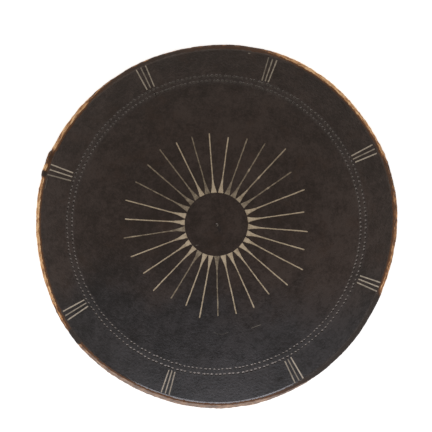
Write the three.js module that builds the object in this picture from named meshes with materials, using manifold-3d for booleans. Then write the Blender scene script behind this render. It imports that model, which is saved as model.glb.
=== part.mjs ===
// A round wooden shield, carved from one thick board.
// The face is a shallow dome, lacquered black, with a rounded edge where the wood shows.
// A sun of thin rays is cut round a plain hub, and eight groups of three bars stand near the edge.
// The back is hollowed, and the grip was left standing across the hollow, a bridge of the same wood.
// The shield lies face up on the flat underside of its edge. +Z is up, and the grip runs along Y.
import * as THREE from "three";
import { mergeVertices } from "three/addons/utils/BufferGeometryUtils.js";
import Module from "manifold-3d";

const wasm = await Module();
wasm.setup();

// Sizes are in millimetres and angles in degrees.
const RADIUS = 270; // mean radius over the edge
const DOME_RADIUS = 680; // the sphere that the face follows
const BOARD = 12.5; // thickness of the board, square to the face
const FACE_RADIUS = 260.4; // where the face ends and the rounded edge begins
const EDGE_WIDEST = 5.8; // height of the widest point of the edge
const FOOT_OUTER = 267.3; // the flat underside of the edge, its outer side
const FOOT_INNER = 261; // and its inner side

// How the hand-cut outline strays from a circle: [waves round the edge, share of the radius, direction].
const OUT_OF_ROUND = [
  [2, 0.0084, 112],
  [3, 0.0055, 111],
  [5, 0.0032, 19],
  [7, 0.002, 85],
];

const HUB_RADIUS = 46.1; // the plain disc inside the rays
const RAYS = 30;
const FIRST_RAY = 8.8;
const RAY_REACH = 134.1; // from the centre to the tip of an ordinary ray
const RAY_BASE = 8.8; // width of a ray against the hub, where its neighbours all but touch it
const RAY_WAIST = 1.9; // width where its taper ends
const RAY_TIP = 2.1; // width at the blunt tip
const RAY_TAPER = 28; // length of the hollow-sided taper
const RAY_FLARE = 2.2; // how hollow its sides are; 1 would be straight
const CUT_DEPTH = 0.8; // depth of the rays and bars below the face, under the pale filling rubbed into them

// How the hand-spaced rays stray from even spacing: [waves round the hub, degrees, direction].
const RAY_WANDER = [
  [1, 0.92, 78],
  [2, 1.62, 78],
  [3, 0.38, -106],
  [4, 0.45, -164],
  [5, 0.65, 97],
  [6, 0.46, -162],
];

// Rays that are cut noticeably longer or shorter than the others, by how much.
const LONGER = { 1: 5, 3: 17, 4: 5, 10: 4, 13: 4, 15: 3, 21: 5, 26: 3, 27: 9 };
const SHORTER = { 0: 4, 6: 5, 17: 5, 19: 7, 20: 7, 25: 6 };

// The groups of three bars: [direction, how widely the bars of the group are spread].
const BAR_GROUPS = [
  [25.65, 1],
  [71.25, 0.89],
  [115.65, 1.07],
  [161.6, 1.1],
  [211, 1.01],
  [253.1, 0.85],
  [298, 0.96],
  [339.1, 1],
];
const BAR_INNER = 224.3; // from the centre to the inner end of a bar
const BAR_OUTER = 261.3; // and to its outer end
const BAR_WIDTH = 2.1;
const BAR_SPACE_INNER = 5.4; // from bar to bar at the inner end, before the spread
const BAR_SPACE_OUTER = 7.2; // and at the outer end

const GRIP_WIDTH = 30; // across the palm
const GRIP_THICK = 17;
const GRIP_CLEAR = 32; // room for the fingers between the grip and the hollow
const GRIP_SPAN = 120; // clear length between the feet of the grip
const GRIP_FLARE = 13; // how much each side of the grip widens into its feet
const GRIP_FOOT = 5; // how much its thickness grows there, each way
const GRIP_ROOT = 5; // how deep the feet run into the board

const SEGMENTS = 84; // steps round the shield
const FACE_STEPS = 9; // rings from the centre of the face to its edge
const SECTION = 18; // steps round the grip
const STATIONS = 24; // steps along the grip

const radians = THREE.MathUtils.degToRad;
const smooth = THREE.MathUtils.smoothstep;

// The sum of a few waves round the shield, at angle t in radians.
function waves(list, t) {
  return list.reduce((sum, [k, size, way]) => sum + size * Math.cos(k * t - radians(way)), 0);
}

// The dome's centre lies below the floor, so that the hollow would reach the floor at FOOT_INNER.
const HOLLOW_RADIUS = DOME_RADIUS - BOARD;
const CENTRE_Z = -Math.sqrt(HOLLOW_RADIUS ** 2 - FOOT_INNER ** 2);

function faceHeight(r) {
  return CENTRE_Z + Math.sqrt(DOME_RADIUS ** 2 - r ** 2);
}

function hollowHeight(r) {
  return CENTRE_Z + Math.sqrt(HOLLOW_RADIUS ** 2 - r ** 2);
}

// A closed three.js geometry as a manifold-3d solid.
function solid(geometry) {
  const bare = geometry.clone();
  bare.deleteAttribute("normal");
  bare.deleteAttribute("uv");
  const merged = mergeVertices(bare, 1e-3);
  const corners = merged.index.array;
  const kept = [];
  for (let i = 0; i < corners.length; i += 3) {
    const [a, b, c] = corners.slice(i, i + 3);
    if (a !== b && b !== c && c !== a) kept.push(a, b, c);
  }
  return new wasm.Manifold(
    new wasm.Mesh({
      numProp: 3,
      vertProperties: new Float32Array(merged.attributes.position.array),
      triVerts: new Uint32Array(kept),
    }),
  );
}

// A manifold-3d solid as a three.js geometry.
function geometryOf(made) {
  const mesh = made.getMesh();
  const geometry = new THREE.BufferGeometry();
  geometry.setAttribute("position", new THREE.BufferAttribute(mesh.vertProperties, 3));
  geometry.setIndex(new THREE.BufferAttribute(mesh.triVerts, 1));
  geometry.computeVertexNormals();
  return geometry;
}

// A profile of [radius, height] turned round Z, then pressed out of round.
// The hub stays round, and the stray grows with the square of the radius.
function turned(profile) {
  const fromBelow = [...profile].reverse();
  const lathe = new THREE.LatheGeometry(
    fromBelow.map(([r, z]) => new THREE.Vector2(r, z)),
    SEGMENTS,
  );
  lathe.rotateX(Math.PI / 2);
  const position = lathe.attributes.position;
  for (let i = 0; i < position.count; i++) {
    const x = position.getX(i);
    const y = position.getY(i);
    const stray = waves(OUT_OF_ROUND, Math.atan2(y, x)) * (Math.hypot(x, y) / RADIUS) ** 2;
    position.setX(i, x * (1 + stray));
    position.setY(i, y * (1 + stray));
  }
  return solid(lathe);
}

// The face as a profile, from the centre to where the rounded edge begins.
function faceProfile() {
  const profile = [];
  for (let i = 0; i <= FACE_STEPS; i++) {
    const r = (FACE_RADIUS * i) / FACE_STEPS;
    profile.push([r, faceHeight(r)]);
  }
  return profile;
}

// The rounded edge, from the face down to the flat underside.
function edgeProfile() {
  const top = faceHeight(FACE_RADIUS);
  const reach = RADIUS - FACE_RADIUS;
  const profile = [];
  for (const turn of [28, 60, 90]) {
    const out = Math.sin(radians(turn));
    const up = Math.cos(radians(turn));
    profile.push([FACE_RADIUS + reach * out, EDGE_WIDEST + (top - EDGE_WIDEST) * up]);
  }
  profile.push([RADIUS - 0.8, 2.2]);
  profile.push([FOOT_OUTER, 0]);
  return profile;
}

// The hollow of the back, from the flat underside to the axis.
function hollowProfile() {
  const profile = [];
  for (let i = FACE_STEPS; i >= 0; i--) {
    const r = (FOOT_INNER * i) / FACE_STEPS;
    profile.push([r, hollowHeight(r)]);
  }
  return profile;
}

// A carved bar whose round section swells and flares as it runs into the board at both ends.
function grip() {
  const half = GRIP_SPAN / 2;
  const low = hollowHeight(0) - GRIP_CLEAR - GRIP_THICK / 2;
  const root = half + 27;
  const right = [
    [half * 0.42, low + 0.3],
    [half - 10, low + 2.6],
    [half + 4, low + 10],
    [half + 15, low + 24],
    [root, hollowHeight(root) + GRIP_ROOT],
  ];
  const left = right.map(([y, z]) => [-y, z]).reverse();
  const path = new THREE.CatmullRomCurve3(
    [...left, [0, low], ...right].map(([y, z]) => new THREE.Vector3(0, y, z)),
  );
  const points = [];
  for (let i = 0; i <= STATIONS; i++) {
    const centre = path.getPointAt(i / STATIONS);
    const along = path.getTangentAt(i / STATIONS);
    const out = Math.abs(centre.y);
    const foot = smooth(out, half - 18, root);
    const palm = 1 - smooth(out, 0, half - 10);
    const wide = GRIP_WIDTH / 2 - 1.5 + 1.5 * palm + GRIP_FLARE * foot;
    const thick = GRIP_THICK / 2 + GRIP_FOOT * foot;
    for (let j = 0; j < SECTION; j++) {
      const turn = (2 * Math.PI * j) / SECTION;
      const across = wide * Math.cos(turn);
      const away = thick * Math.sin(turn);
      points.push(across, centre.y - away * along.z, centre.z + away * along.y);
    }
  }
  const ends = [0, STATIONS].map((i) => path.getPointAt(i / STATIONS));
  points.push(...ends[0].toArray(), ...ends[1].toArray());
  const first = points.length / 3 - 2;
  const index = [];
  for (let j = 0; j < SECTION; j++) {
    const next = (j + 1) % SECTION;
    for (let i = 0; i < STATIONS; i++) {
      const a = i * SECTION + j;
      const b = i * SECTION + next;
      index.push(a, a + SECTION, b, b, a + SECTION, b + SECTION);
    }
    const last = STATIONS * SECTION;
    index.push(first, j, next, first + 1, last + next, last + j);
  }
  const geometry = new THREE.BufferGeometry();
  geometry.setAttribute("position", new THREE.Float32BufferAttribute(points, 3));
  geometry.setIndex(index);
  return solid(geometry);
}

// A plan outline, pushed upwards through the whole shield and turned about Z.
function prism(outline, angle) {
  const shape = new THREE.Shape(outline.map(([x, y]) => new THREE.Vector2(x, y)));
  const geometry = new THREE.ExtrudeGeometry(shape, { depth: 90, bevelEnabled: false });
  geometry.rotateZ(radians(angle));
  return solid(geometry);
}

// Half the width of a ray at a share of its taper, hollow-sided like a drawn-out flame.
function taperHalf(share) {
  return RAY_WAIST / 2 + ((RAY_BASE - RAY_WAIST) / 2) * (1 - share) ** RAY_FLARE;
}

function ray(number) {
  const even = (360 / RAYS) * number;
  const angle = even + FIRST_RAY + waves(RAY_WANDER, radians(even));
  const reach = RAY_REACH + (LONGER[number] || 0) - (SHORTER[number] || 0);
  const side = [];
  for (const share of [0, 0.25, 0.55, 1]) {
    side.push([HUB_RADIUS + RAY_TAPER * share, taperHalf(share)]);
  }
  side.push([reach - 1, RAY_TIP / 2]);
  side.push([reach, RAY_TIP / 4]);
  const back = side.map(([x, y]) => [x, -y]).reverse();
  return prism([...back, ...side], angle);
}

// One bar of a group of three: place is -1, 0 or 1.
function bar(angle, spread, place) {
  const inner = place * spread * BAR_SPACE_INNER;
  const outer = place * spread * BAR_SPACE_OUTER;
  const half = BAR_WIDTH / 2;
  return prism(
    [
      [BAR_INNER, inner - half],
      [BAR_OUTER, outer - half],
      [BAR_OUTER, outer + half],
      [BAR_INNER, inner + half],
    ],
    angle,
  );
}

// Everything that the cuts may not reach: the shield without its hollow, lowered by the depth of a cut.
const face = faceProfile();
const edge = edgeProfile();
const uncut = turned([...face, ...edge, [0, 0]]).translate([0, 0, -CUT_DEPTH]);

let shield = turned([...face, ...edge, ...hollowProfile()]).add(grip());
for (let number = 0; number < RAYS; number++) {
  shield = shield.subtract(ray(number).subtract(uncut));
}
for (const [angle, spread] of BAR_GROUPS) {
  for (const place of [-1, 0, 1]) {
    shield = shield.subtract(bar(angle, spread, place).subtract(uncut));
  }
}

const lacquer = new THREE.MeshStandardMaterial({ color: 0x37302c, roughness: 0.45, metalness: 0 });
const mesh = new THREE.Mesh(geometryOf(shield), lacquer);
mesh.name = "shield";

// The outline is a little lopsided, so it is centred over the origin by its extents.
const extents = new THREE.Box3().setFromBufferAttribute(mesh.geometry.attributes.position);
const middle = extents.getCenter(new THREE.Vector3());
mesh.position.set(-middle.x, -middle.y, 0);

const part = new THREE.Group();
part.add(mesh);

export default part;
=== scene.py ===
import math

import bpy
import numpy as np
from mathutils import Matrix, Vector


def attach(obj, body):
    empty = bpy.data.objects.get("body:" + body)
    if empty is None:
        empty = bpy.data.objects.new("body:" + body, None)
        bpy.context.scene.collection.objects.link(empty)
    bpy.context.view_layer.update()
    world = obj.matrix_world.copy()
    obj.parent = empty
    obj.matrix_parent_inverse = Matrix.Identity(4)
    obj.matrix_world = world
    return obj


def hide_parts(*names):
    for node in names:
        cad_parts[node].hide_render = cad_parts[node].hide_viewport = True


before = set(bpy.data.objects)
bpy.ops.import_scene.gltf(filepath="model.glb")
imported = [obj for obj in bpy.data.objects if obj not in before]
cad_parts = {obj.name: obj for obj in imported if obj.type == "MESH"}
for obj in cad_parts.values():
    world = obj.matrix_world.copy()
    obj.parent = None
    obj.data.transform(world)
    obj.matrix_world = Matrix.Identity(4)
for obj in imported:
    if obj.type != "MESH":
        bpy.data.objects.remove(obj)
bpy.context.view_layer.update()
MM = 0.001

# ---- Sizes shared with the solid ----
RADIUS = 270.0
DOME_RADIUS = 680.0
BOARD = 12.5
FACE_RADIUS = 260.4
EDGE_WIDEST = 5.8
FOOT_OUTER = 267.3
FOOT_INNER = 261.0
OUT_OF_ROUND = [(2, 0.0084, 112), (3, 0.0055, 111), (5, 0.0032, 19), (7, 0.002, 85)]
SEGMENTS = 84
HUB_RADIUS = 46.1
RAYS = 30
FIRST_RAY = 8.8
RAY_REACH = 134.1
RAY_BASE = 8.8
RAY_WAIST = 1.9
RAY_TIP = 2.1
RAY_TAPER = 28.0
RAY_FLARE = 2.2
RAY_WANDER = [
    (1, 0.92, 78),
    (2, 1.62, 78),
    (3, 0.38, -106),
    (4, 0.45, -164),
    (5, 0.65, 97),
    (6, 0.46, -162),
]
LONGER = {1: 5, 3: 17, 4: 5, 10: 4, 13: 4, 15: 3, 21: 5, 26: 3, 27: 9}
SHORTER = {0: 4, 6: 5, 17: 5, 19: 7, 20: 7, 25: 6}
# Direction of each group of bars, and how wide apart its bars stand.
BAR_GROUPS = [
    (25.65, 1.0),
    (71.25, 0.89),
    (115.65, 1.07),
    (161.6, 1.1),
    (211, 1.01),
    (253.1, 0.85),
    (298, 0.96),
    (339.1, 1.0),
]
BAR_INNER = 224.3
BAR_OUTER = 261.3
BAR_WIDTH = 2.1
BAR_SPACE_INNER = 5.4
BAR_SPACE_OUTER = 7.2
GRIP_WIDTH = 30.0
GRIP_THICK = 17.0
GRIP_CLEAR = 32.0
GRIP_SPAN = 120.0
GRIP_FLARE = 13.0
GRIP_FOOT = 5.0
GRIP_ROOT = 5.0

# ---- Finer relief, made here only ----
ARRIS_SLOPE = 29.2  # slope of the narrow rubbed arris, in degrees
ARRIS_WIDE = 2.3
SIDE_SLOPE = 36.0  # slope where the worn side leaves the arris
SIDE_PULL = 0.6  # how far the side holds that slope, as a share of its width
ROUND_PULL = 1.2  # and how tightly it then rounds into the widest point
SCAR = [155.3, 156.6, 163.9, 165.2]  # the large scar of the edge: where it rises, and where it ends
SCAR_OUT = 2.0  # how far the split wood stands out there
NICK = (160.0, 0.9, 0.9)  # a nick in the scar: direction, half its length, depth
BARE_SINK = 0.3  # how far bare wood has worn back
EDGE_SWELL = 0.2  # unevenness of the edge where it is whole
CHATTER = (0.05, 0.10)  # small roughness of the edge where it is whole, and how much bare wood adds
FACE_FADE = 20.0  # the unevenness of the face dies out this close to its edge
FILL_DEPTH = 0.2  # how far the pale filling lies below the face
CUT_ABOVE = 2.0  # how far a cutting shell reaches above the face
CUT_INSET = 0.1  # how much narrower a cut is at its floor, on each side
HAND = 0.05  # how unevenly the rays and bars are cut: spread of their width
RAY_DRIFT = 0.06  # how far a ray wanders sideways from step to step
RAY_LAND = 0.06  # least half width of the lacquer left between two rays
BAR_STRAY = [(-0.8, 0.8), (-0.6, 0.4)]  # how far a bar's inner and outer ends stray
KNUCKLE = (0.55, 2.6)  # swelling on a few rays: extra half width, and half its length
DOT_ROWS = [(220.6, 0.0), (212.9, 0.45)]  # radius of each row of punched dots, and its stagger
DOT_MIDDLE = 216.8  # radius midway between the rows
DOTS = 216  # dots in a row
DOT_LONG = 2.3  # half the length of a dot, along its row
DOT_WIDE = 1.6
DOT_DEEP = 0.62
# Rings of a dot, from its floor to above the face: width, depth and shift outwards, as shares.
DOT_RINGS = [(0.25, 0.9, 0.42), (0.6, 0.62, 0.26), (1.0, 0.0, 0.0), (1.2, -1.0, 0.0)]
DOT_STEPS = 10
DOT_JITTER = 0.1  # spread of the spacing, as a share of it
DOT_WOBBLE = 0.22  # spread across the row
DOT_SIZES = (0.08, 0.8, 1.15)  # spread of the size, and its limits
PRICK = (0.4, -0.3, 0.9)  # the compass prick in the hub: where it is, and its size
# Stretches where the punch was struck deeper or lighter: row, middle, half length in degrees, share
DOT_STRIKES = [
    (0, 92, 60, 0.07),
    (0, 200, 50, -0.10),
    (0, 272, 32, 0.12),
    (0, 316, 26, -0.15),
    (1, 80, 60, 0.05),
    (1, 232, 75, -0.14),
    (1, 316, 28, -0.13),
]
DIM_RAYS = {2, 4, 5, 8, 10, 11, 12, 15, 19, 22}
KNUCKLED_RAYS = {2, 3, 4}
KNUCKLE_AT = 91.0  # how far out those rays swell
# How much of the pale filling is left, from 0 to 1: on each ray, and on each bar of each group.
RAY_TONES = {n: 0.45 for n in DIM_RAYS} | {3: 0.75}
BAR_TONES = [
    (1.0, 0.62, 0.92),
    (0.72, 0.62, 0.5),
    (0.72, 0.5, 0.78),
    (0.95, 0.95, 0.6),
    (1.0, 0.65, 0.9),
    (0.85, 0.72, 0.68),
    (0.62, 0.52, 1.0),
    (0.8, 0.92, 0.88),
]
KNUCKLE_PALE = (0.5, 3.0)  # how much paler a knuckle is, and half its length
TOPPED_UP_RAY = 15  # a dim ray whose filling is better near its tip
TOPPED_UP = ([112, 118, 126, 130], [0, 0.35, 0.35, 0])  # distances out, and how much better
RAYS_WITHIN = 200.0  # the rays lie inside this radius, the bars outside it
GOUGE_WIDE = 15.0  # width of a gouge stroke in the hollow
GOUGE_LONG = 46.0
GOUGE_DEEP = 0.5
GOUGE_STRAY = 0.32  # how far a stroke strays from its place, as a share of its width or length
GOUGE_FADE = 14.0  # the strokes die out this close to the underside of the edge
GRIP_MEAN = 14.0  # mean radius of the grip's section, for the unevenness of its cutting
GRIP_ENDS = 27.0  # how far the grip's roots lie beyond its clear length, at each end
# Its middle line: how far beyond the clear length, and how far above its lowest point.
GRIP_LINE = [(-34.8, 0.3), (-10, 2.6), (4, 10), (15, 24)]
GRIP_PALM = 1.5  # how much narrower it is, on each side, than at the palm
GRIP_FACETS = 9

# Steps round each ring, and the radii of the rings.
FACE_RINGS = [
    (48, (10, 20)),
    (96, (30, 40, 50)),
    (192, range(60, 150, 10)),
    (384, range(150, 252, 8)),
    (768, (255.0, 258.6)),
]
HOLLOW_RINGS = [
    (48, (4, 8, 12)),
    (96, range(16, 40, 4)),
    (192, range(40, 88, 4)),
    (384, range(88, 258, 4)),
    (384, (258.5, FOOT_INNER, 263.5)),
]
EDGE_STEPS = 768
EDGE_LINES = 16
RUN_LINES = 24  # points at which the way down the edge is measured
BELOW = -12.0  # the tool for the hollow is closed at this height

FACE, EDGE, BACK, GRIP, FILL, WALL, DOT = range(1, 8)
rng = np.random.default_rng(7)


def waves(terms, t):
    total = np.zeros_like(np.asarray(t, dtype=float))
    for k, size, way in terms:
        total = total + size * np.cos(k * t - math.radians(way))
    return total


def stray(t):
    return waves(OUT_OF_ROUND, t)


def angles(count):
    return np.arange(count) * 2 * math.pi / count


def smoothstep(v, low, high):
    s = np.clip((v - low) / (high - low), 0, 1)
    return s * s * (3 - 2 * s)


def pressed(r, t):
    """Plan position of nominal radius r at angle t, from the centre of the hub."""
    rho = r * (1 + stray(t) * (r / RADIUS) ** 2)
    return rho * np.cos(t), rho * np.sin(t)


def outline_middle():
    """Middle of the outline's extents, at the steps round it that the solid has."""
    x, y = pressed(RADIUS, angles(SEGMENTS))
    return (x.min() + x.max()) / 2, (y.min() + y.max()) / 2


MIDDLE_X, MIDDLE_Y = outline_middle()
HOLLOW_RADIUS = DOME_RADIUS - BOARD
CENTRE_Z = -math.sqrt(HOLLOW_RADIUS**2 - FOOT_INNER**2)


def nominal(x, y):
    """Nominal radius and angle of a plan position from the centre of the hub."""
    rho, t = np.hypot(x, y), np.arctan2(y, x)
    s = stray(t)
    r = rho
    for _ in range(5):
        r = rho / (1 + s * (r / RADIUS) ** 2)
    return r, t


def make_swell(count, long_mm, short_mm, size, seed):
    """A smooth random field: a sum of plane waves with wavelengths between short_mm and long_mm."""
    g = np.random.default_rng(seed)
    way = g.uniform(0, 2 * math.pi, count)
    step = 2 * math.pi / np.exp(g.uniform(math.log(short_mm), math.log(long_mm), count))
    kx, ky = step * np.cos(way), step * np.sin(way)
    phase = g.uniform(0, 2 * math.pi, count)
    scale = size / math.sqrt(count / 2)

    def field(x, y):
        total = np.zeros_like(np.asarray(x, dtype=float))
        for a, b, p in zip(kx, ky, phase):
            total = total + np.cos(a * x + b * y + p)
        return total * scale

    return field


face_swell = make_swell(22, 150, 38, 0.16, 11)
edge_swell = make_swell(20, 60, 9, 1.0, 12)
edge_chatter = make_swell(24, 9, 3.2, 1.0, 13)


def face_height(x, y):
    r, _ = nominal(x, y)
    fade = np.clip((FACE_RADIUS - r) / FACE_FADE, 0, 1)
    return CENTRE_Z + np.sqrt(DOME_RADIUS**2 - r**2) + face_swell(x, y) * fade


def face_normal(x, y):
    e = 0.5
    dx = (face_height(x + e, y) - face_height(x - e, y)) / (2 * e)
    dy = (face_height(x, y + e) - face_height(x, y - e)) / (2 * e)
    n = np.stack([-dx, -dy, np.ones_like(dx)], axis=-1)
    return n / np.linalg.norm(n, axis=-1, keepdims=True)


def hollow_height(r):
    return CENTRE_Z + np.sqrt(HOLLOW_RADIUS**2 - r**2)


def placed(name, data):
    """A new object in the scene."""
    made = bpy.data.objects.new(name, data)
    bpy.context.scene.collection.objects.link(made)
    return made


# ---- Meshes in numpy: rings of points joined into closed shells ----
class Shell:
    """Points and faces of a closed mesh, each face with its kind."""

    def __init__(self):
        self.points, self.faces, self.kinds = [], [], []
        self.count = 0

    def add(self, points):
        points = np.asarray(points, dtype=float).reshape(-1, 3)
        first = self.count
        self.points.append(points)
        self.count += len(points)
        return first

    def face(self, corners, kind):
        self.faces.append(tuple(int(c) for c in corners))
        self.kinds.append(kind)

    def join(self, a, na, b, nb, kind, flip=False):
        """Joins ring a of na points to ring b of nb: as many or twice as many, or one is a point."""
        made = []
        if na == 1:
            made = [(a, b + j, b + (j + 1) % nb) for j in range(nb)]
        elif nb == 1:
            made = [(a + j, b, a + (j + 1) % na) for j in range(na)]
        elif na == nb:
            made = [(a + j, b + j, b + (j + 1) % nb, a + (j + 1) % na) for j in range(na)]
        elif nb == 2 * na:
            for j in range(na):
                k, j1 = 2 * j, (j + 1) % na
                made.append((a + j, b + k, b + k + 1))
                made.append((a + j, b + k + 1, a + j1))
                made.append((a + j1, b + k + 1, b + (k + 2) % nb))
        else:
            raise ValueError("rings of %d and %d points" % (na, nb))
        for f in made:
            self.face(f[::-1] if flip else f, kind)

    def object(self, name):
        mesh = bpy.data.meshes.new(name)
        mesh.from_pydata((np.concatenate(self.points) * MM).tolist(), [], self.faces)
        kind = mesh.attributes.new("kind", "INT", "FACE")
        kind.data.foreach_set("value", np.array(self.kinds, dtype=np.int32))
        return placed(name, mesh)


def join_rings(shell, rings, kinds, flip=False):
    """Joins rings of points in order; kinds[i] is the kind between ring i and ring i + 1."""
    firsts = [shell.add(points) for points in rings]
    for i in range(len(rings) - 1):
        shell.join(firsts[i], len(rings[i]), firsts[i + 1], len(rings[i + 1]), kinds[i], flip)


def ring(x, y, z):
    """Points at plan positions, at one height or each at its own."""
    return np.stack([x, y, np.broadcast_to(z, np.shape(x))], axis=-1)


def on_axis(z):
    return np.array([[0.0, 0.0, float(z)]])


def nested(bands):
    """The rings of a list of (steps, radii): each ring's radius and its plan positions."""
    for steps, radii in bands:
        for r in radii:
            yield r, *pressed(r, angles(steps))


# ---- How worn the edge is, round the shield ----
# Direction in degrees, how much wood is bare (0 to 1), and how pale that wood is (0 to 1).
EDGE_WEAR = [
    (0, 0.85, 0.45),
    (10, 0.85, 0.45),
    (12, 0.6, 0.25),
    (20, 0.6, 0.3),
    (23, 0.83, 0.8),
    (28, 0.68, 0.6),
    (34, 0.83, 0.85),
    (60, 0.88, 0.95),
    (70, 0.78, 0.7),
    (75, 0.6, 0.2),
    (98, 0.5, 0.15),
    (104, 0.4, 0.25),
    (124, 0.45, 0.3),
    (135, 0.65, 0.45),
    (138, 1.0, 0.8),
    (155, 1.0, 0.75),
    (155.9, 0.75, 0.15),
    (157.5, 0.5, 0.35),
    (159.8, 0.7, 0.15),
    (160.6, 0.78, 1.0),
    (162.2, 0.78, 1.0),
    (162.8, 0.35, 0.12),
    (163.9, 0.35, 0.12),
    (164.8, 0.86, 0.75),
    (169, 0.88, 0.8),
    (173, 0.9, 0.95),
    (182, 0.89, 0.95),
    (204, 0.87, 0.8),
    (209, 0.79, 0.6),
    (215, 0.64, 0.45),
    (216.5, 0.05, 0.3),
    (220, 0.05, 0.3),
    (221.5, 0.75, 0.5),
    (240, 0.88, 0.45),
    (262, 0.87, 0.42),
    (284, 0.88, 0.5),
    (290, 0.6, 0.3),
    (300, 0.4, 0.15),
    (304, 0.1, 0.15),
    (335, 0.1, 0.15),
    (339, 0.88, 0.6),
    (350, 0.83, 0.55),
]


def edge_wear(t, column):
    """How bare the edge's wood is at some angles, from column 1, or how pale, from column 2."""
    degrees = np.degrees(t) % 360
    at = [row[0] for row in EDGE_WEAR]
    value = [row[column] for row in EDGE_WEAR]
    return np.interp(degrees, at, value, period=360)


def bump(degrees, middle, half):
    """A smooth hump of height 1 round a direction."""
    away = (degrees - middle + 180) % 360 - 180
    return np.clip(1 - (away / half) ** 2, 0, 1) ** 1.5


def edge_swell_out(t, share):
    """How far the edge stands out of its plain profile. share is 0 at the face and 1 at the foot."""
    x, y = RADIUS * np.cos(t), RADIUS * np.sin(t)
    ends = smoothstep(share, 0.18, 0.42) * np.clip((1 - share) / 0.12, 0, 1)
    bare = edge_wear(t, 1)
    whole, added = CHATTER
    rough = EDGE_SWELL * edge_swell(x, y)
    rough = rough + (whole + added * bare) * edge_chatter(x + 9 * share, y + 7 * share)
    d = np.degrees(t) % 360
    scar = SCAR_OUT * smoothstep(d, *SCAR[:2]) * (1 - smoothstep(d, *SCAR[2:]))
    middle, half, depth = NICK
    scar = scar - depth * bump(d, middle, half)
    return (rough + scar - BARE_SINK * bare * np.sin(math.pi * share)) * ends


def edge_profile(steps):
    """Points of the worn edge, from the end of the face to the flat underside: a narrow flat arris,
    then a side that steepens to the widest point, then the rounding under it."""
    top = CENTRE_Z + math.sqrt(DOME_RADIUS**2 - FACE_RADIUS**2)
    along, down = math.cos(math.radians(ARRIS_SLOPE)), math.sin(math.radians(ARRIS_SLOPE))
    on_arris = np.linspace(0, 1, steps // 3)[:, None] * ARRIS_WIDE
    arris = np.array([FACE_RADIUS, top]) + on_arris * np.array([along, -down])
    start, end = arris[-1], np.array([RADIUS, EDGE_WIDEST])
    lean = np.array([1.0, -math.tan(math.radians(SIDE_SLOPE))])
    first = start + SIDE_PULL * (RADIUS - start[0]) * lean
    second = end + np.array([0.0, ROUND_PULL])
    s = np.linspace(0, 1, steps - steps // 3 + 1)[1:, None]
    side = (1 - s) ** 3 * start + 3 * (1 - s) ** 2 * s * first
    side = side + 3 * (1 - s) * s**2 * second + s**3 * end
    points = [tuple(p) for p in np.vstack([arris, side])]
    low = RADIUS - FOOT_OUTER
    for angle in np.radians(np.linspace(0, 90, steps // 2 + 1)[1:]):
        points.append((FOOT_OUTER + low * math.cos(angle), EDGE_WIDEST * (1 - math.sin(angle))))
    return points


def blank_shell():
    """The board before hollowing: face, edge and a flat bottom."""
    zero = np.zeros(1)
    rings = [ring(zero, zero, face_height(zero, zero))]
    rings += [ring(x, y, face_height(x, y)) for _, x, y in nested(FACE_RINGS)]
    kinds = [FACE] * len(rings)
    profile = edge_profile(EDGE_LINES)
    t = angles(EDGE_STEPS)
    for i, (r, z) in enumerate(profile):
        share = i / (len(profile) - 1)
        out = edge_swell_out(t, share)
        tilt = math.radians(np.interp(share, [0, 0.55, 1], [50, 5, -60]))
        x, y = pressed(r, t)
        x = x + out * math.cos(tilt) * np.cos(t)
        y = y + out * math.cos(tilt) * np.sin(t)
        rings.append(ring(x, y, z + out * math.sin(tilt)))
        kinds.append(EDGE)
    rings += [ring(*pressed(FOOT_INNER - 8, t), 0.0), on_axis(0)]
    kinds += [EDGE, EDGE]
    shell = Shell()
    join_rings(shell, rings, kinds)
    return shell


def gouged(x, y):
    """Depth of the overlapping gouge strokes that run along the grain, at plan positions."""
    u, v = x / GOUGE_WIDE, y / GOUGE_LONG
    v = v + 0.5 * (np.floor(u) % 2)
    best = np.full(np.shape(x), 9.0)
    table = np.random.default_rng(21).uniform(-GOUGE_STRAY, GOUGE_STRAY, (64, 64, 2))
    for du in (-1, 0, 1):
        for dv in (-1, 0, 1):
            cu = np.floor(u) + du
            cv = np.floor(v - 0.5 * (du % 2)) + dv
            jitter = table[cu.astype(int) % 64, cv.astype(int) % 64]
            pu = cu + 0.5 + jitter[..., 0]
            pv = cv + 0.5 + 0.5 * (du % 2) + jitter[..., 1]
            best = np.minimum(best, (u - pu) ** 2 * 1.6 + (v - pv) ** 2)
    return GOUGE_DEEP * (1 - np.clip(best / 0.75, 0, 1))


def hollow_shell():
    """What the hollow takes away: its gouged surface, closed below the floor."""
    rings = [on_axis(hollow_height(0.0))]
    for r, x, y in nested(HOLLOW_RINGS):
        fade = np.clip((FOOT_INNER - r) / GOUGE_FADE, 0, 1)
        rings.append(ring(x, y, hollow_height(r) + gouged(x, y) * fade))
    rings += [ring(x, y, BELOW), on_axis(BELOW)]
    shell = Shell()
    join_rings(shell, rings, [BACK] * len(rings))
    return shell


def catmull(points, count):
    """Points at even steps along a smooth curve through some points, and the directions there."""
    p = np.array(points, dtype=float)
    p = np.vstack([2 * p[0] - p[1], p, 2 * p[-1] - p[-2]])
    s = np.linspace(0, 1, 40, endpoint=False)[:, None]
    dense = []
    for i in range(1, len(p) - 2):
        a, b, c, d = p[i - 1 : i + 3]
        bend = (2 * a - 5 * b + 4 * c - d) * s**2 + (3 * b - a - 3 * c + d) * s**3
        dense.append(0.5 * (2 * b + (c - a) * s + bend))
    dense = np.vstack([*dense, p[-2:-1]])
    run = np.r_[0, np.cumsum(np.linalg.norm(np.diff(dense, axis=0), axis=1))]
    at = np.linspace(0, run[-1], count)
    line = np.stack([np.interp(at, run, dense[:, k]) for k in (0, 1)], axis=-1)
    along = np.gradient(line, axis=0)
    return line, along / np.linalg.norm(along, axis=1, keepdims=True)


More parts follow.
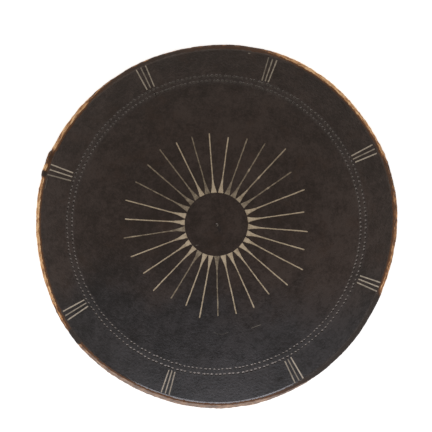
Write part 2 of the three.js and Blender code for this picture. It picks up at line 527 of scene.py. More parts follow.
def grip_shell():
    """The grip: a bar whose knife-cut section swells for the palm and flares into the board."""
    half = GRIP_SPAN / 2
    low = hollow_height(0.0) - GRIP_CLEAR - GRIP_THICK / 2
    root = half + GRIP_ENDS
    right = [(half + beyond, low + above) for beyond, above in GRIP_LINE]
    right.append((root, hollow_height(root) + GRIP_ROOT))
    left = [(-y, z) for y, z in right][::-1]
    line, along = catmull([*left, (0, low), *right], 110)
    turn = angles(48)
    swell = make_swell(16, 30, 8, 0.16, 31)
    rings = []
    for (y, z), (ty, tz) in zip(line, along):
        out = abs(y)
        foot = smoothstep(out, half - 18, root)
        palm = 1 - smoothstep(out, 0, half - 10)
        wide = GRIP_WIDTH / 2 - GRIP_PALM * (1 - palm) + GRIP_FLARE * foot
        thick = GRIP_THICK / 2 + GRIP_FOOT * foot
        facet = 1 + (0.012 + 0.01 * foot) * np.cos(GRIP_FACETS * turn + 0.02 * y)
        here = np.full_like(turn, y)
        push = 0.5 * swell(turn * GRIP_MEAN, here)
        push = push + 0.5 * swell((turn - 2 * math.pi) * GRIP_MEAN, here)
        across = (wide * facet + push) * np.cos(turn)
        away = (thick * facet + push) * np.sin(turn)
        rings.append(np.stack([across, y - away * tz, z + away * ty], axis=-1))
    rings = [np.array([[0.0, *line[0]]]), *rings, np.array([[0.0, *line[-1]]])]
    shell = Shell()
    join_rings(shell, rings, [GRIP] * len(rings), flip=True)
    return shell


def cut_box(shell, t, r, side, half):
    """A cut in direction t: a strip whose floor follows the face, open above it. r holds distances
    out, side how far left of that direction the cut lies there, and half its half widths."""
    along = np.array([math.cos(t), math.sin(t)])
    across = np.array([-along[1], along[0]])
    centre = r[:, None] * along + side[:, None] * across
    left = centre + across * half[:, None]
    right = centre - across * half[:, None]
    inset = np.minimum(CUT_INSET, half * 0.3)[:, None]
    low_left, low_right = left - across * inset, right + across * inset
    deep = face_height(centre[:, 0], centre[:, 1]) - FILL_DEPTH
    high = deep + FILL_DEPTH + CUT_ABOVE
    sides = ((low_right, deep), (low_left, deep), (left, high), (right, high))
    lr, ll, hl, hr = [shell.add(np.column_stack([plan, z])) for plan, z in sides]
    e = len(centre) - 1
    for i in range(e):
        shell.face((lr + i, ll + i, ll + i + 1, lr + i + 1), FILL)
        shell.face((ll + i, hl + i, hl + i + 1, ll + i + 1), WALL)
        shell.face((hl + i, hr + i, hr + i + 1, hl + i + 1), WALL)
        shell.face((hr + i, lr + i, lr + i + 1, hr + i + 1), WALL)
    shell.face((lr, hr, hl, ll), WALL)
    shell.face((ll + e, hl + e, hr + e, lr + e), WALL)


def ray_angle(number):
    even = 360 / RAYS * number
    return math.radians(even + FIRST_RAY + float(waves(RAY_WANDER, math.radians(even))))


def add_ray(shell, number):
    """A ray: it narrows outwards in a curve, then widens a little towards its tip."""
    t = ray_angle(number)
    reach = RAY_REACH + LONGER.get(number, 0) - SHORTER.get(number, 0)
    taper = np.linspace(HUB_RADIUS, HUB_RADIUS + RAY_TAPER, 13)
    r = np.unique(np.r_[taper, np.arange(88, reach - 2, 4), reach - 1.1, reach])
    share = np.clip((r - HUB_RADIUS) / RAY_TAPER, 0, 1)
    half = RAY_WAIST / 2 + (RAY_BASE - RAY_WAIST) / 2 * (1 - share) ** RAY_FLARE
    past = np.clip((r - HUB_RADIUS - RAY_TAPER) / (reach - HUB_RADIUS - RAY_TAPER), 0, 1)
    half = half + past * (RAY_TIP - RAY_WAIST) / 2
    half = half * (1 + HAND * rng.standard_normal(len(r)))
    if number in KNUCKLED_RAYS:
        half = half + KNUCKLE[0] * np.exp(-(((r - KNUCKLE_AT) / KNUCKLE[1]) ** 2))
    half[-1] *= 0.5
    beside = min(ray_angle(number + 1) - t, t - ray_angle(number - 1))
    half = np.minimum(half, r * beside / 2 - RAY_LAND)
    side = np.cumsum(rng.standard_normal(len(r))) * RAY_DRIFT * (r > HUB_RADIUS + 6)
    cut_box(shell, t, r, side, half)


def add_bar(shell, degrees, place):
    """A bar of a group, which spread a little outwards; place is 0 for the middle one."""
    inner = BAR_INNER + rng.uniform(*BAR_STRAY[0])
    r = np.linspace(inner, BAR_OUTER + rng.uniform(*BAR_STRAY[1]), 9)
    share = (r - BAR_INNER) / (BAR_OUTER - BAR_INNER)
    side = place * (BAR_SPACE_INNER + (BAR_SPACE_OUTER - BAR_SPACE_INNER) * share)
    half = BAR_WIDTH / 2 * (1 + HAND * rng.standard_normal(len(r)))
    cut_box(shell, math.radians(degrees), r, side, half)


def add_dot(shell, x, y, t, size):
    """A punched pit, a little longer along its row."""
    n = face_normal(np.array([x]), np.array([y]))[0]
    z = float(face_height(np.array([x]), np.array([y]))[0])
    out = np.array([math.cos(t), math.sin(t), 0.0])
    out = out - n * out.dot(n)
    out /= np.linalg.norm(out)
    along = np.cross(n, out)
    at = np.array([x, y, z])
    turn = angles(DOT_STEPS)
    rings = [(at + out * DOT_WIDE * size * DOT_RINGS[0][2] - n * DOT_DEEP * size)[None]]
    for width, depth, shift in DOT_RINGS:
        sunk = DOT_DEEP * depth * (size if depth > 0 else 1)
        middle = at + out * DOT_WIDE * size * shift - n * sunk
        lengthwise = np.outer(np.cos(turn), along) * DOT_LONG * size * width
        crosswise = np.outer(np.sin(turn), out) * DOT_WIDE * size * width
        rings.append(middle + lengthwise - crosswise)
    rings.append((at + n * DOT_DEEP * 0.9)[None])
    join_rings(shell, rings, [DOT] * len(rings), flip=True)


def cuts_shell():
    """Everything cut into the face: rays, bars, two rows of punched dots and the compass prick."""
    shell = Shell()
    for number in range(RAYS):
        add_ray(shell, number)
    for degrees, apart in BAR_GROUPS:
        for place in (-1, 0, 1):
            add_bar(shell, degrees, place * apart)
    spread, least, most = DOT_SIZES
    for row, (radius, stagger) in enumerate(DOT_ROWS):
        jitter = rng.normal(0, DOT_JITTER, DOTS)
        wobble = rng.normal(0, DOT_WOBBLE, DOTS)
        size = rng.normal(1, spread, DOTS).clip(least, most)
        ways = 360 * (np.arange(DOTS) + stagger) / DOTS
        for struck, middle, half, share in DOT_STRIKES:
            if struck == row:
                size = size * (1 + share * bump(ways, middle, half))
        for i in range(DOTS):
            t = 2 * math.pi * (i + stagger + jitter[i]) / DOTS
            r = radius + wobble[i]
            add_dot(shell, r * math.cos(t), r * math.sin(t), t, size[i])
    x, y, size = PRICK
    add_dot(shell, x, y, 0.0, size)
    return shell


# ---- The carved board ----
def carved_board():
    """The whole board as one mesh, in the hub's frame."""
    blank = blank_shell().object("blank")
    tools = [
        (hollow_shell().object("hollow"), "DIFFERENCE"),
        (grip_shell().object("grip"), "UNION"),
        (cuts_shell().object("cuts"), "DIFFERENCE"),
    ]
    for tool, operation in tools:
        step = blank.modifiers.new(tool.name, "BOOLEAN")
        step.operation = operation
        step.object = tool
        step.solver = "MANIFOLD"
    deps = bpy.context.evaluated_depsgraph_get()
    mesh = bpy.data.meshes.new_from_object(blank.evaluated_get(deps))
    for made in [blank, *[tool for tool, _ in tools]]:
        old = made.data
        bpy.data.objects.remove(made)
        bpy.data.meshes.remove(old)
    return mesh


# ---- Attributes and normals of the finished mesh ----
def read(collection, name, width, kind=float):
    values = np.empty(len(collection) * width, dtype=kind)
    collection.foreach_get(name, values)
    return values.reshape(-1, width) if width > 1 else values


def hub_place(points):
    """Plan positions from the centre of the hub, in millimetres."""
    return points[:, 0] / MM, points[:, 1] / MM


def edge_run(points):
    """How far down the edge's profile each point lies, in millimetres; less than 0 on the face."""
    x, y = hub_place(points)
    r, _ = nominal(x, y)
    z = points[:, 2] / MM
    steps = np.array(edge_profile(RUN_LINES))
    run = np.r_[0, np.cumsum(np.hypot(*np.diff(steps, axis=0).T))]
    away = (r[:, None] - steps[None, :, 0]) ** 2 + (z[:, None] - steps[None, :, 1]) ** 2
    return np.where(r < FACE_RADIUS, r - FACE_RADIUS, run[np.argmin(away, axis=1)])


def nearest(t, ways):
    """For each angle, the number of the nearest of some directions."""
    apart = np.angle(np.exp(1j * (t[:, None] - np.asarray(ways)[None])))
    return np.argmin(np.abs(apart), axis=1)


def nearest_cut_tone(x, y):
    """How pale the filling of the nearest ray or bar is."""
    r, t = np.hypot(x, y), np.arctan2(y, x)
    ray = nearest(t, [ray_angle(i) for i in range(RAYS)])
    on_rays = np.array([RAY_TONES.get(i, 1.0) for i in range(RAYS)])[ray]
    paler, reach = KNUCKLE_PALE
    on_knuckle = np.clip(1 - np.abs(r - KNUCKLE_AT) / reach, 0, 1)
    on_rays = on_rays + paler * np.isin(ray, list(KNUCKLED_RAYS)) * on_knuckle
    on_rays = on_rays + (ray == TOPPED_UP_RAY) * np.interp(r, *TOPPED_UP)
    ways = np.radians([degrees for degrees, _ in BAR_GROUPS])
    group = nearest(t, ways)
    space = (BAR_SPACE_INNER + BAR_SPACE_OUTER) / 2
    place = np.clip(np.round(r * np.sin(t - ways[group]) / space), -1, 1).astype(int) + 1
    on_bars = np.array(BAR_TONES)[group, place]
    return np.where(r < RAYS_WITHIN, np.minimum(on_rays, 1), on_bars)


def dress_mesh(mesh):
    """Gives the mesh its materials, their attributes and its normals, and moves it into place."""
    points = read(mesh.vertices, "co", 3)
    x, y = hub_place(points)
    _, t = nominal(x, y)
    layers = {
        "bare": edge_wear(t, 1),
        "pale": edge_wear(t, 2),
        "run": edge_run(points),
        "filling": nearest_cut_tone(x, y),
    }
    for name, values in layers.items():
        layer = mesh.attributes.new(name, "FLOAT", "POINT")
        layer.data.foreach_set("value", np.asarray(values, dtype=np.float32))
    kinds = read(mesh.attributes["kind"].data, "value", 1, np.int32)
    mesh.materials.clear()
    for material in MATERIALS:
        mesh.materials.append(material)
    mesh.polygons.foreach_set("material_index", (kinds - FACE).astype(np.int32))
    mesh.polygons.foreach_set("use_smooth", np.ones(len(kinds), dtype=bool))
    corners = read(mesh.loops, "vertex_index", 1, np.int32)
    totals = read(mesh.polygons, "loop_total", 1, np.int32)
    areas = read(mesh.polygons, "area", 1)
    flat = read(mesh.polygons, "normal", 3)
    of_corner = np.repeat(np.arange(len(kinds)), totals)
    # Walls stay flat, most kinds are smoothed on their own, and the face has the dome's normals.
    normals = flat[of_corner].copy()
    for kind in (EDGE, BACK, GRIP, DOT):
        here = kinds[of_corner] == kind
        total = np.zeros((len(points), 3))
        np.add.at(total, corners[here], (flat * areas[:, None])[of_corner[here]])
        length = np.linalg.norm(total, axis=1, keepdims=True)
        total = np.divide(total, length, out=np.zeros_like(total), where=length > 1e-12)
        smooth = total[corners[here]]
        good = np.linalg.norm(smooth, axis=1) > 0.5
        normals[np.flatnonzero(here)[good]] = smooth[good]
    here = np.isin(kinds[of_corner], (FACE, FILL))
    at = corners[here]
    normals[here] = face_normal(x[at], y[at])
    mesh.normals_split_custom_set(normals.tolist())
    mesh.attributes.remove(mesh.attributes["kind"])
    mesh.transform(Matrix.Translation((-MIDDLE_X * MM, -MIDDLE_Y * MM, 0)))
    mesh.update()


# ---- Materials ----
RAMP_ENDS = ("From Min", "From Max", "To Min", "To Max")


class Shade:
    """A node material under construction."""

    def __init__(self, name):
        self.material = bpy.data.materials.new(name)
        self.material.use_nodes = True
        self.tree = self.material.node_tree
        self.tree.nodes.clear()
        self.shader = self.node("BsdfPrincipled")
        out = self.node("OutputMaterial")
        self.tree.links.new(self.shader.outputs[0], out.inputs[0])
        self.place = self.node("TexCoord").outputs["Object"]
        self.axes = None

    def node(self, kind, **settings):
        made = self.tree.nodes.new("ShaderNode" + kind)
        for name, value in settings.items():
            setattr(made, name, value)
        return made

    def put(self, value, socket):
        if isinstance(value, bpy.types.NodeSocket):
            self.tree.links.new(value, socket)
        else:
            socket.default_value = (*value, 1) if socket.type == "RGBA" else value

    def set(self, name, value):
        self.put(value, self.shader.inputs[name])

    def math(self, operation, a, b=0.0, clamp=False):
        made = self.node("Math", operation=operation, use_clamp=clamp)
        self.put(a, made.inputs[0])
        self.put(b, made.inputs[1])
        return made.outputs[0]

    def vector(self, operation, a, b, scalar=False):
        made = self.node("VectorMath", operation=operation)
        self.put(a, made.inputs[0])
        self.put(b, made.inputs[1])
        return made.outputs["Value" if scalar else "Vector"]

    def times(self, a, b):
        return self.math("MULTIPLY", a, b)

    def plus(self, a, b, clamp=False):
        return self.math("ADD", a, b, clamp)

    def weigh(self, *parts):
        """The sum of values, each times its weight."""
        total = self.times(*parts[0])
        for part in parts[1:]:
            total = self.plus(total, self.times(*part))
        return total

    def axis(self, number):
        """One coordinate of the place, in metres: 0 for X, 1 for Y."""
        if self.axes is None:
            split = self.node("SeparateXYZ")
            self.put(self.place, split.inputs[0])
            self.axes = split.outputs
        return self.axes[number]

    def attribute(self, name):
        made = self.node("Attribute", attribute_type="GEOMETRY")
        made.attribute_name = name
        return made.outputs["Fac"]

    def noise(self, size, detail, roughness, stretch=(1, 1, 1), at=None, bend=0.0, offset=0.0):
        """Noise with features of about size, in millimetres; stretch lengthens them along an axis."""
        per_metre = tuple(1 / (size * MM * s) for s in stretch)
        scaled = self.vector("MULTIPLY", at or self.place, per_metre)
        moved = self.vector("ADD", scaled, (offset, 1.7 * offset, -0.6 * offset))
        made = self.node("TexNoise")
        self.put(moved, made.inputs["Vector"])
        settings = {"Scale": 1.0, "Detail": detail, "Roughness": roughness, "Distortion": bend}
        for name, value in settings.items():
            made.inputs[name].default_value = value
        return made.outputs["Fac"]

    def ramp(self, value, low, high, start=0.0, end=1.0, smooth=True):
        made = self.node("MapRange")
        made.interpolation_type = "SMOOTHSTEP" if smooth else "LINEAR"
        self.put(value, made.inputs["Value"])
        for name, number in zip(RAMP_ENDS, (low, high, start, end)):
            made.inputs[name].default_value = number
        return made.outputs["Result"]

    def spread(self, noise, low, high):
        """Noise, which keeps to the middle of its range, spread from low to high."""
        return self.ramp(noise, 0.3, 0.7, low, high, smooth=False)

    def mix(self, share, a, b):
        made = self.node("Mix", data_type="RGBA")
        self.put(share, made.inputs[0])
        self.put(a, made.inputs[6])
        self.put(b, made.inputs[7])
        return made.outputs[2]

    def blend(self, share, a, b):
        made = self.node("Mix", data_type="FLOAT")
        self.put(share, made.inputs[0])
        self.put(a, made.inputs[2])
        self.put(b, made.inputs[3])
        return made.outputs[0]

    def palette(self, value, colours):
        """Colours evenly spaced from 0 to 1."""
        made = self.node("ValToRGB")
        ramp = made.color_ramp
        while len(ramp.elements) < len(colours):
            ramp.elements.new(0.5)
        for i, colour in enumerate(colours):
            ramp.elements[i].position = i / (len(colours) - 1)
            ramp.elements[i].color = (*colour, 1)
        self.put(value, made.inputs[0])
        return made.outputs["Color"]

    def finish(self, colour, roughness, layers=()):
        """Ends the material. Layers are the bumps: pairs of a height from 0 to 1, and millimetres."""
        self.set("Base Color", colour)
        self.set("Roughness", roughness)
        normal = None
        for height, millimetres in layers:
            made = self.node("Bump")
            made.inputs["Strength"].default_value = 1.0
            made.inputs["Distance"].default_value = millimetres * MM
            self.put(height, made.inputs["Height"])
            if normal:
                self.put(normal, made.inputs["Normal"])
            normal = made.outputs["Normal"]
        if normal:
            self.set("Normal", normal)
        return self.material

    def near_line(self, x0, y0, x1, y1, reach):
        """1 on the line between two plan points from the hub's centre, and 0 at reach from it."""
        start = ((x0 - MIDDLE_X) * MM, (y0 - MIDDLE_Y) * MM, 0)
        along = ((x1 - x0) * MM, (y1 - y0) * MM, 0)
        length = along[0] ** 2 + along[1] ** 2
        flat = self.vector("MULTIPLY", self.place, (1, 1, 0))
        away = self.vector("SUBTRACT", flat, start)
        share = self.vector("DOT_PRODUCT", away, along, True)
        share = self.math("DIVIDE", share, length, clamp=True)
        scaled = self.node("VectorMath", operation="SCALE")
        scaled.inputs[0].default_value = along
        self.put(share, scaled.inputs["Scale"])
        gap = self.vector("DISTANCE", away, scaled.outputs["Vector"], True)
        return self.ramp(gap, 0.0, reach * MM, 1.0, 0.0)


# Colours are linear. Two together are the dark and the light end of a mix.
LACQUER = [(0.0302, 0.0189, 0.0140), (0.0434, 0.0279, 0.0222), (0.0612, 0.0408, 0.0330)]
RUDDY_LACQUER = (0.056, 0.030, 0.019)
# Painted sheen: the greyer lacquer that the part of the face towards -Y is painted, standing in for
# the sheen of the low light from that side.
SHEEN_GREY_LACQUER = [(0.0142, 0.0129, 0.0136), (0.0390, 0.0358, 0.0388)]
SPECKS = (0.09, 0.075, 0.06)
SCRATCHED_AND_GLINT = (0.30, 0.26, 0.21)
DULLED_AND_SHADED = (0.012, 0.009, 0.008)
DUST_ON_FACE = (0.095, 0.085, 0.083)
BARE_WOOD = [
    (0.06, 0.026, 0.013),
    (0.17, 0.075, 0.032),
    (0.42, 0.19, 0.073),
    (0.74, 0.38, 0.16),
    (0.95, 0.62, 0.33),
]
# Painted light: the greyer, paler wood that the edge is painted towards -Y.
LIT_GREY_WOOD = [(0.20, 0.155, 0.135), (0.52, 0.42, 0.365)]
# A dark brown band where the lacquer has flaked off the edge, before the bare wood; the thin one
# where little wood is bare.
DARK_BAND = [(0.066, 0.019, 0.002), (0.150, 0.053, 0.010)]
THIN_DARK_BAND = (0.022, 0.0138, 0.0100)
BACK_WOOD = [(0.105, 0.052, 0.024), (0.21, 0.115, 0.055), (0.33, 0.20, 0.105)]
DARK_PORES = (0.05, 0.026, 0.014)
GRIME = (0.06, 0.036, 0.022)
GRIP_WOOD = [(0.085, 0.042, 0.02), (0.17, 0.09, 0.043), (0.26, 0.15, 0.078)]
HAND_DARKENED = (0.055, 0.028, 0.015)
FILLING = [(0.48, 0.37, 0.245), (0.66, 0.525, 0.365), (0.77, 0.635, 0.46)]
BAR_FILLING = (0.62, 0.555, 0.485)
EMPTY_CUT = (0.032, 0.022, 0.017)
CUT_WALL = [(0.022, 0.014, 0.011), (0.10, 0.07, 0.048)]
# Painted shade and painted highlight of the punched dots: near black where a wall faces away from the
# low light, pale where it faces it.
DOT_SHADE_AND_HIGHLIGHT = [(0.014, 0.010, 0.009), (0.235, 0.205, 0.19)]
DOT_DUST_ENDS = (0.0085, 0.005)  # metres from the dots' middle line where the dust ends and is full
WOOD_STRETCH = 0.13  # share of plan distances, which makes the streaks long round the edge
LACQUER_ENDS = 2.4  # the lacquer has flaked off by this far down the edge
# Scratches, and one painted highlight: X and Y of a line's two ends from the hub's centre, half its
# width, and its strength.
SCRATCHES_AND_GLINT = [
    (51.5, -151.5, 64.5, -146.8, 1.1, 0.6),
    (-4.0, -157.5, 2.0, -160.4, 0.8, 0.14),
    (2.0, -160.4, 10.0, -160.6, 0.8, 0.14),
    (10.0, -160.6, 18.0, -157.5, 0.8, 0.14),
    (-30.0, -30.6, -26.6, -30.2, 0.9, 0.8),
    # Not a scratch: a painted highlight on the wall of the compass prick.
    (0.9, -1.2, 1.3, -1.2, 2.3, 1.6),
    (48.4, 255.6, 49.6, 255.4, 1.5, 1.6),
    (-251.0, 68.5, -254.5, 54.0, 0.8, 0.5),
]
# Dull places, rubbed ones and stains, and one painted shadow: the same two ends, and how far each
# place reaches from the line.
DULL_PLACES_AND_SHADOW = [
    # Not a worn place: its darker colour is a painted shadow beside the compass prick.
    (3.2, -6.0, 4.4, -8.0, 6),
    (109.0, -221.0, 124.0, -212.0, 12),
    (90.0, -236.0, 97.0, -224.0, 10),
    (138.0, -205.0, 150.0, -196.0, 12),
    (60.0, -170.0, 112.0, -158.0, 16),
]


def fine_relief(shade):
    return shade.noise(2.6, 3, 0.6, offset=8)


def lacquer_looks(shade):
    """Colour, roughness and fine relief of the aged black lacquer, its part towards -Y painted greyer
    as a painted sheen.
    """
    broad = shade.noise(120, 3, 0.6)
    cloud = shade.noise(26, 4, 0.6, offset=3)
    mottle = shade.noise(7, 4, 0.65, offset=5)
    fine = fine_relief(shade)
    mixed = shade.weigh((broad, 0.25), (cloud, 0.25), (mottle, 0.25), (fine, 0.25))
    colour = shade.palette(shade.ramp(mixed, 0.44, 0.56, smooth=False), LACQUER)
    ruddy = shade.ramp(shade.noise(34, 3, 0.6, offset=11), 0.52, 0.7, 0.0, 0.34)
    colour = shade.mix(ruddy, colour, RUDDY_LACQUER)
    # Painted sheen: towards -Y the lacquer is painted greyer, standing in for the sheen of the low
    # light there.
    uneven = shade.ramp(broad, 0.3, 0.7, -0.03, 0.03)
    painted_sheen_share = shade.ramp(shade.plus(shade.axis(1), uneven), -0.04, -0.15)
    painted_sheen_grey = shade.mix(shade.ramp(mixed, 0.42, 0.58), *SHEEN_GREY_LACQUER)
    colour = shade.mix(shade.times(painted_sheen_share, 0.8), colour, painted_sheen_grey)
    specks = shade.ramp(shade.noise(1.7, 2, 0.5, offset=14), 0.7, 0.76, 0.0, 0.35)
    colour = shade.mix(specks, colour, SPECKS)
    rough = shade.spread(cloud, 0.41, 0.51)
    rough = shade.plus(rough, shade.spread(mottle, -0.05, 0.05))
    return colour, rough, fine


def lacquer_material():
    """The face: aged lacquer with its scratches, its dulled places, the dusty band beside the dots,
    and a painted highlight and painted shadow at the compass prick.
    """
    shade = Shade("black_lacquer")
    colour, rough, fine = lacquer_looks(shade)
    ragged = shade.noise(2.2, 2, 0.5, offset=20)
    # One of these marks is a painted highlight at the compass prick.
    for *ends, reach, strength in SCRATCHES_AND_GLINT:
        mark = shade.near_line(*ends, reach)
        mark = shade.times(mark, shade.ramp(ragged, 0.3, 0.6, 0.3, strength))
        colour = shade.mix(mark, colour, SCRATCHED_AND_GLINT)
    # The darker colour of these places is real wear, except beside the compass prick, where it is a
    # painted shadow.
    dull_and_shadow = 0.0
    for place in DULL_PLACES_AND_SHADOW:
        dull_and_shadow = shade.math("MAXIMUM", dull_and_shadow, shade.near_line(*place))
    patchy = shade.ramp(shade.noise(9, 3, 0.6, offset=24), 0.42, 0.6)
    dull_and_shadow = shade.times(dull_and_shadow, patchy)
    colour = shade.mix(shade.times(dull_and_shadow, 0.55), colour, DULLED_AND_SHADED)
    rough = shade.blend(dull_and_shadow, rough, 0.75)
    flat = shade.vector("MULTIPLY", shade.place, (1, 1, 0))
    outwards = shade.vector("LENGTH", flat, flat, scalar=True)
    aside = shade.math("ABSOLUTE", shade.math("SUBTRACT", outwards, DOT_MIDDLE * MM))
    beside = shade.ramp(aside, *DOT_DUST_ENDS)
    beside = shade.times(beside, shade.ramp(fine, 0.35, 0.6, 0.5, 1.0))
    colour = shade.mix(shade.times(beside, 0.14), colour, DUST_ON_FACE)
    rough = shade.blend(beside, rough, 0.54)
    rubbed = shade.ramp(shade.attribute("run"), -1.6, -0.1)
    rough = shade.blend(rubbed, rough, 0.30)
    hair = shade.noise(1.3, 2, 0.5, stretch=(1, 14, 1), offset=30)
    brushed = shade.noise(3.6, 3, 0.6, offset=33)
    shade.set("IOR", 1.45)
    return shade.finish(colour, rough, [(brushed, 0.55), (fine, 0.16), (hair, 0.02)])


def bare_wood(shade, pale):
    """Colour of the wood laid bare round the edge: streaks that run round it, pale or brown."""
    run = shade.attribute("run")
    across = shade.node("CombineXYZ")
    shade.put(shade.times(shade.axis(0), WOOD_STRETCH), across.inputs[0])
    shade.put(shade.times(shade.axis(1), WOOD_STRETCH), across.inputs[1])
    shade.put(shade.times(run, MM), across.inputs[2])
    streak = shade.noise(1.5, 3, 0.6, at=across.outputs[0], offset=40)
    patch = shade.noise(9, 3, 0.6, offset=43)
    speck = shade.noise(1.6, 2, 0.5, offset=46)
    value = shade.plus(pale, shade.ramp(streak, 0.34, 0.66, -0.52, 0.36, smooth=False))
    value = shade.plus(value, shade.spread(patch, -0.22, 0.18))
    value = shade.plus(value, shade.spread(speck, -0.1, 0.08))
    value = shade.plus(value, shade.ramp(run, 12.5, 17.0, 0.0, -0.4), clamp=True)
    return shade.palette(value, BARE_WOOD), streak


def edge_material():
    """The edge: lacquer, then a dark brown band where it has flaked, then wood laid bare further
    down, painted greyer and paler towards -Y as painted light.
    """
    shade = Shade("worn_edge")
    lacquer, _, fine = lacquer_looks(shade)
    run, bare, pale = (shade.attribute(n) for n in ("run", "bare", "pale"))
    wood, streak = bare_wood(shade, pale)
    # Painted light: towards -Y the bare wood is painted greyer and paler, as the bluish low light
    # from that side makes it look.
    painted_light_low = shade.ramp(shade.axis(1), -0.14, -0.22, 0.0, 0.62)
    wood = shade.mix(painted_light_low, wood, shade.mix(streak, *LIT_GREY_WOOD))
    ragged = shade.spread(shade.noise(5, 3, 0.6, offset=50), -0.8, 0.8)
    chips = shade.spread(shade.noise(1.6, 2, 0.6, offset=53), -0.35, 0.35)
    worn = shade.plus(shade.plus(run, ragged), chips)
    limit = shade.times(shade.math("SUBTRACT", 1.05, bare), 10.0)
    flaked = shade.math("MINIMUM", limit, LACQUER_ENDS)
    # Where the lacquer has flaked off comes a dark brown band, then bare wood further down.
    lacquer_gone = shade.ramp(shade.math("SUBTRACT", worn, flaked), 0.1, 0.5)
    laid_bare = shade.ramp(shade.math("SUBTRACT", worn, limit), 3.1, 4.0)
    dark_band = shade.mix(shade.ramp(bare, 0.3, 0.8), THIN_DARK_BAND, shade.mix(streak, *DARK_BAND))
    colour = shade.mix(lacquer_gone, lacquer, dark_band)
    colour = shade.mix(laid_bare, colour, wood)
    rough = shade.blend(lacquer_gone, 0.13, 0.74)
    shade.set("Specular Tint", (1.0, 0.92, 0.87))
    return shade.finish(colour, rough, [(shade.times(lacquer_gone, streak), 0.24), (fine, 0.03)])


def board_back_material():
    """Old bare wood, darkened by handling, with its grain along Y."""
    shade = Shade("bare_back")
    grain = shade.noise(2.4, 4, 0.6, stretch=(1, 26, 8), bend=0.6, offset=60)
    rings = shade.noise(15, 3, 0.5, stretch=(1, 12, 4), bend=1.2, offset=63)
    pores = shade.ramp(shade.noise(0.9, 2, 0.5, stretch=(1, 18, 3), offset=66), 0.60, 0.72)
    grime = shade.ramp(shade.noise(70, 4, 0.6, offset=69), 0.4, 0.68)
    uneven = shade.noise(9, 2, 0.5, stretch=(1, 3, 1), offset=72)
    value = shade.weigh((grain, 0.5), (rings, 0.5))
    colour = shade.palette(shade.ramp(value, 0.36, 0.64, smooth=False), BACK_WOOD)
    colour = shade.mix(shade.times(pores, 0.6), colour, DARK_PORES)
    colour = shade.mix(shade.times(grime, 0.45), colour, GRIME)
    rough = shade.spread(grain, 0.58, 0.74)
    return shade.finish(colour, rough, [(grain, 0.16), (pores, 0.10), (uneven, 0.25)])


def grip_material():
    """The same wood, darker and smoother where the hand has held it."""
    shade = Shade("handled_grip")
    grain = shade.noise(2.0, 4, 0.6, stretch=(1, 24, 6), bend=0.5, offset=80)
    cuts = shade.noise(11, 2, 0.5, stretch=(1, 2.5, 1), offset=83)
    held = shade.ramp(shade.math("ABSOLUTE", shade.axis(1)), 0.03, 0.075, 1.0, 0.0)
    colour = shade.palette(shade.ramp(grain, 0.34, 0.66, smooth=False), GRIP_WOOD)
    dark = shade.times(held, shade.ramp(cuts, 0.3, 0.7, 0.35, 0.75))
    colour = shade.mix(dark, colour, HAND_DARKENED)
    return shade.finish(colour, shade.blend(held, 0.62, 0.40), [(grain, 0.10), (cuts, 0.22)])


def filling_material():
    """Pale pigment rubbed into the cut lines; on some rays little is left."""
    shade = Shade("pale_filling")
    left = shade.attribute("filling")
    grit = shade.noise(1.5, 3, 0.65, offset=90)
    patch = shade.noise(7, 3, 0.6, offset=93)
    value = shade.weigh((grit, 0.45), (patch, 0.55))
    pale = shade.palette(shade.ramp(value, 0.34, 0.66, smooth=False), FILLING)
    outwards = shade.vector("LENGTH", shade.place, shade.place, scalar=True)
    pale = shade.mix(shade.ramp(outwards, 0.17, 0.21, 0.0, 0.6), pale, BAR_FILLING)
    patchy = shade.ramp(value, 0.38, 0.62, -0.16, 0.16, smooth=False)
    kept = shade.plus(left, patchy, clamp=True)
    return shade.finish(shade.mix(kept, EMPTY_CUT, pale), 0.8, [(grit, 0.12)])


def cut_wall_material():
    """The walls of the cuts: raw wood darkened by old lacquer."""
    shade = Shade("cut_wall")
    grit = shade.noise(1.1, 3, 0.6, offset=100)
    colour = shade.mix(shade.ramp(grit, 0.4, 0.65), *CUT_WALL)
    return shade.finish(colour, 0.6, [(grit, 0.05)])


def dot_material():
    """Punched dots: glossy lacquer, painted pale on the walls that face -Y as a painted highlight,
    and painted near black elsewhere as painted shade.
    """
    shade = Shade("punched_dot")
    normal = shade.node("SeparateXYZ")
    shade.put(shade.node("NewGeometry").outputs["Normal"], normal.inputs[0])
    # Painted highlight: walls that lean towards -Y, where the low light is, are painted pale; the
    # rest is painted dark as shade.
    domed = shade.times(shade.axis(1), -1 / (DOME_RADIUS * MM))
    leaning = shade.plus(normal.outputs[1], domed)
    kept = shade.ramp(shade.noise(3.0, 2, 0.6, offset=110), 0.36, 0.6, 0.6, 1.0)
    painted_highlight = shade.times(shade.ramp(leaning, 0.08, -0.2), kept)
    shade.set("Specular Tint", (1.0, 0.87, 0.77))
    return shade.finish(shade.mix(painted_highlight, *DOT_SHADE_AND_HIGHLIGHT), 0.24, [(fine_relief(shade), 0.04)])


# In the order of the kinds: FACE, EDGE, BACK, GRIP, FILL, WALL, DOT.
MATERIALS = [
    lacquer_material(),
    edge_material(),
    board_back_material(),
    grip_material(),
    filling_material(),
    cut_wall_material(),
    dot_material(),
]

mesh = carved_board()
dress_mesh(mesh)
board = placed("carved_board", mesh)
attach(board, "root")
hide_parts("shield")

# ---- Floor, light and camera: lengths in metres from here on ----
FLOOR_TONES = [(0.88, 0.88, 0.88), (0.92, 0.92, 0.92)]
FLOOR_GLOW = 0.75
FLOOR_HALF = 6.0
FLOOR_LEVEL = -0.0003
ROOM_COLOUR = (1.0, 0.96, 0.90, 1.0)
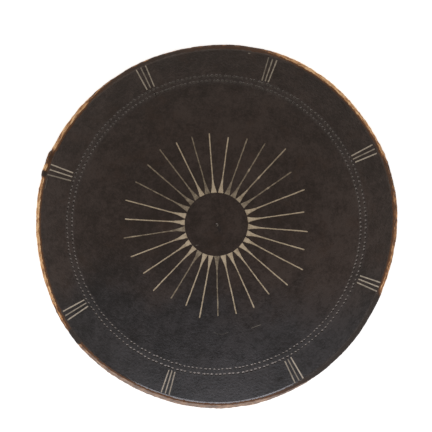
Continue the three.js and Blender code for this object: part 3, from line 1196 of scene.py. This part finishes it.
# Between two heights, 0 at the horizon and 1 overhead, the room goes from one brightness to another.
ROOM_LIGHT = (0.1, 0.68, 1.25, 0.24)
CAMERA_AWAY = 2.68  # metres above the rim
CAMERA_LEAN = 1.4  # degrees that it leans off the vertical, towards the foot of the picture
CAMERA_LENS = 150
LOOKED_AT = Vector((-0.00095, 0.0152, 0.0058))


def floor_object():
    shade = Shade("pale_floor")
    shade.set("Specular IOR Level", 0.0)
    shade.set("Emission Color", (1.0, 1.0, 1.0))
    shade.set("Emission Strength", FLOOR_GLOW)
    colour = shade.mix(shade.noise(400, 2, 0.5, offset=120), *FLOOR_TONES)
    ground = bpy.data.meshes.new("floor")
    signs = ((-1, -1), (1, -1), (1, 1), (-1, 1))
    corners = [(FLOOR_HALF * i, FLOOR_HALF * j, FLOOR_LEVEL) for i, j in signs]
    ground.from_pydata(corners, [], [(0, 1, 2, 3)])
    ground.materials.append(shade.finish(colour, 0.9))
    placed("floor", ground)


def window(name, azimuth, from_vertical, distance, size, radiance, colour):
    """A soft rectangular light aimed at the shield. radiance is what it looks like seen head on."""
    lamp = bpy.data.lights.new(name, "AREA")
    lamp.shape = "RECTANGLE"
    lamp.size, lamp.size_y = size
    lamp.energy = radiance * math.pi * lamp.size * lamp.size_y
    lamp.color = colour
    made = placed(name, lamp)
    a, v = math.radians(azimuth), math.radians(from_vertical)
    way = Vector((math.sin(v) * math.cos(a), math.sin(v) * math.sin(a), math.cos(v)))
    made.location = way * distance
    made.rotation_euler = (-way).to_track_quat("-Z", "Y").to_euler()
    made.visible_camera = False


def world_light():
    """A plain studio room: dim overhead, bright low down."""
    world = bpy.data.worlds.new("room")
    bpy.context.scene.world = world
    world.use_nodes = True
    tree = world.node_tree
    tree.nodes.clear()
    kinds = ("OutputWorld", "Background", "TexCoord", "SeparateXYZ", "MapRange")
    out, back, coords, split, ramp = (tree.nodes.new("ShaderNode" + kind) for kind in kinds)
    ramp.interpolation_type = "SMOOTHSTEP"
    for name, number in zip(RAMP_ENDS, ROOM_LIGHT):
        ramp.inputs[name].default_value = number
    back.inputs["Color"].default_value = ROOM_COLOUR
    tree.links.new(coords.outputs["Generated"], split.inputs[0])
    tree.links.new(split.outputs["Z"], ramp.inputs["Value"])
    tree.links.new(ramp.outputs["Result"], back.inputs["Strength"])
    tree.links.new(back.outputs[0], out.inputs[0])


def photo_camera():
    lens = bpy.data.cameras.new("camera")
    lens.lens = CAMERA_LENS
    lens.sensor_width = 36
    lens.clip_end = 50
    eye = placed("camera", lens)
    lean = math.radians(CAMERA_LEAN)
    eye.location = LOOKED_AT + Vector((0, -math.sin(lean), math.cos(lean))) * CAMERA_AWAY
    eye.rotation_euler = (lean, 0, 0)
    bpy.context.scene.camera = eye


floor_object()
world_light()
window(
    "low_window",
    azimuth=-90,
    from_vertical=66,
    distance=3.0,
    size=(2.8, 0.5),
    radiance=7.9,
    colour=(0.74, 0.79, 0.91),
)
photo_camera()
view = bpy.context.scene.view_settings
view.view_transform = "Standard"
view.look = "None"
view.exposure = 0.0
view.gamma = 1.0
